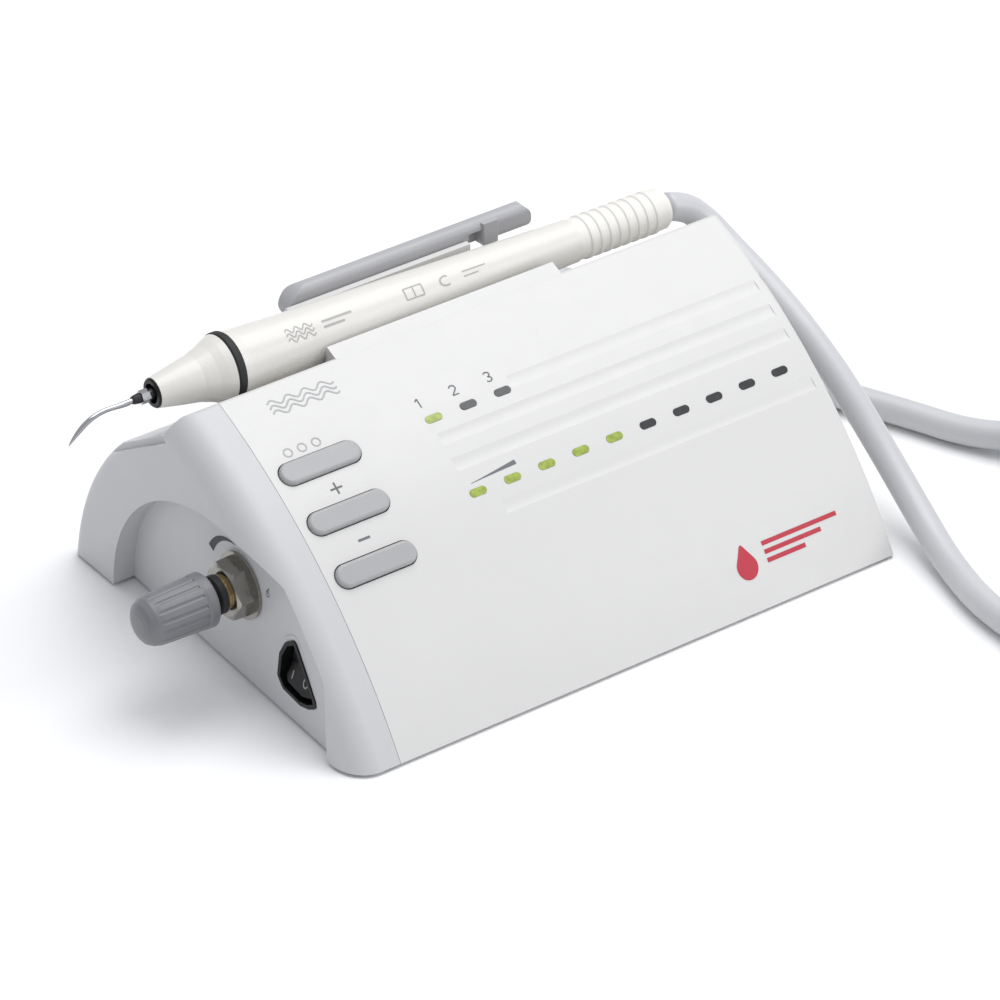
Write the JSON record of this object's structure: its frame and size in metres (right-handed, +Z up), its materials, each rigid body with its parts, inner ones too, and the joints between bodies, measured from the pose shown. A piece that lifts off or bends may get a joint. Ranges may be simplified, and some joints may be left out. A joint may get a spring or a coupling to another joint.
{
  "type": "ultrasonic scaler",
  "caption": "Table-top ultrasonic dental scaler: wedge-shaped control unit with sloping key panel, water knob, handpiece in its rest, steel tip and free hose.",
  "frame": {"origin": "centre of the footprint of the unit with its knob, at table height", "axes": "+X from the knob end to the plain end, +Y from the toe of the sloping panel to the back, +Z up"},
  "size_m": [0.358, 0.2873, 0.0829],
  "materials": {
    "aluminium": "extruded",
    "black_plastic": "moulded, satin",
    "black_rubber": "matte",
    "brass": "turned",
    "ceramic": "fired",
    "circuit_board": "solder mask",
    "copper": "enamelled wire",
    "cream_plastic": "smooth moulded, satin",
    "electronic_parts": "moulded",
    "ferrite": "matte",
    "grey_plastic": "moulded, satin",
    "hose_silicone": "smooth silicone",
    "lens_dark": "unlit lens",
    "lens_green": "lit lens",
    "nickel": "nickel plated",
    "steel": "polished",
    "titanium": "turned",
    "tube_plastic": "clear polyurethane",
    "white_plastic": "smooth moulded, semi-gloss",
    "white_rubber": "matte silicone"
  },
  "bodies": {
    "unit": {"left_end_cap": "white_plastic", "top_cover": "white_plastic", "back_shell": "white_plastic", "base_plate": "white_plastic", "rubber_feet": "black_rubber", "fixing_screws": "steel", "cradle": "white_plastic", "rest_rail": "grey_plastic", "control_board": "circuit_board", "key_switches": "electronic_parts", "led_lenses_lit": "lens_green", "led_lenses_dark": "lens_dark", "leds": "ceramic", "ribbon_cable": "grey_plastic", "valve_nut": "nickel", "valve_washer": "nickel", "valve_body": "brass", "switch_housing": "black_plastic", "main_board": "circuit_board", "standoffs": "brass", "transformer_core": "ferrite", "transformer_winding": "copper", "heat_sink": "aluminium", "power_transistors": "electronic_parts", "board_components": "electronic_parts", "water_filter": "tube_plastic", "solenoid_body": "black_plastic", "solenoid_coil": "copper", "water_tubes": "tube_plastic", "power_jack": "black_plastic", "pedal_socket": "black_plastic", "water_inlet": "brass", "inlet_nut": "nickel", "hose_gland": "grey_plastic", "strain_relief": "hose_silicone", "hose_front": "hose_silicone", "hose_back": "hose_silicone", "hose_coil": "hose_silicone"},
    "key_mode": {"button_mode": "grey_plastic"},
    "key_up": {"button_up": "grey_plastic"},
    "key_down": {"button_down": "grey_plastic"},
    "knob": {"water_knob": "grey_plastic", "valve_stem": "steel", "knob_seal": "black_rubber"},
    "rocker": {"switch_rocker": "black_plastic"},
    "handpiece": {"nose_cone": "cream_plastic", "nose_ring": "black_rubber", "o_ring": "black_rubber", "barrel": "cream_plastic", "tail_boot": "white_rubber", "horn": "titanium", "piezo_discs": "ceramic", "piezo_electrodes": "brass", "rear_mass": "steel", "inner_sleeve": "tube_plastic", "hand_water_tube": "steel"},
    "tip": {"tip_hub": "steel", "tip_collar": "black_rubber", "tip_blade": "steel"}
  },
  "joints": [
    {"name": "press_mode", "type": "slide", "parent": "unit", "child": "key_mode", "axis": [0, 0.5134, -0.8581], "range_m": [0, 0.0008], "stiffness_N_per_m": 600, "springref_m": -0.0002},
    {"name": "press_up", "type": "slide", "parent": "unit", "child": "key_up", "axis": [0, 0.59, -0.8074], "range_m": [0, 0.0008], "stiffness_N_per_m": 600, "springref_m": -0.0002},
    {"name": "press_down", "type": "slide", "parent": "unit", "child": "key_down", "axis": [0, 0.6625, -0.749], "range_m": [0, 0.0008], "stiffness_N_per_m": 600, "springref_m": -0.0002},
    {"name": "turn_water", "type": "hinge", "parent": "unit", "child": "knob", "pos_m": [-0.0985, -0.0112, 0.0316], "axis": [-1, 0, 0], "range_deg": [0, 270]},
    {"name": "rock_power", "type": "hinge", "parent": "unit", "child": "rocker", "pos_m": [-0.0691, -0.0389, 0.018], "axis": [0, -1, 0], "range_deg": [0, 12]},
    {"name": "lift_handpiece", "type": "slide", "parent": "unit", "child": "handpiece", "axis": [0, 0, 1], "range_m": [0, 0.06]},
    {"name": "pull_tip", "type": "slide", "parent": "handpiece", "child": "tip", "axis": [-0.9999, 0, 0.0116], "range_m": [0, 0.012]}
  ]
}
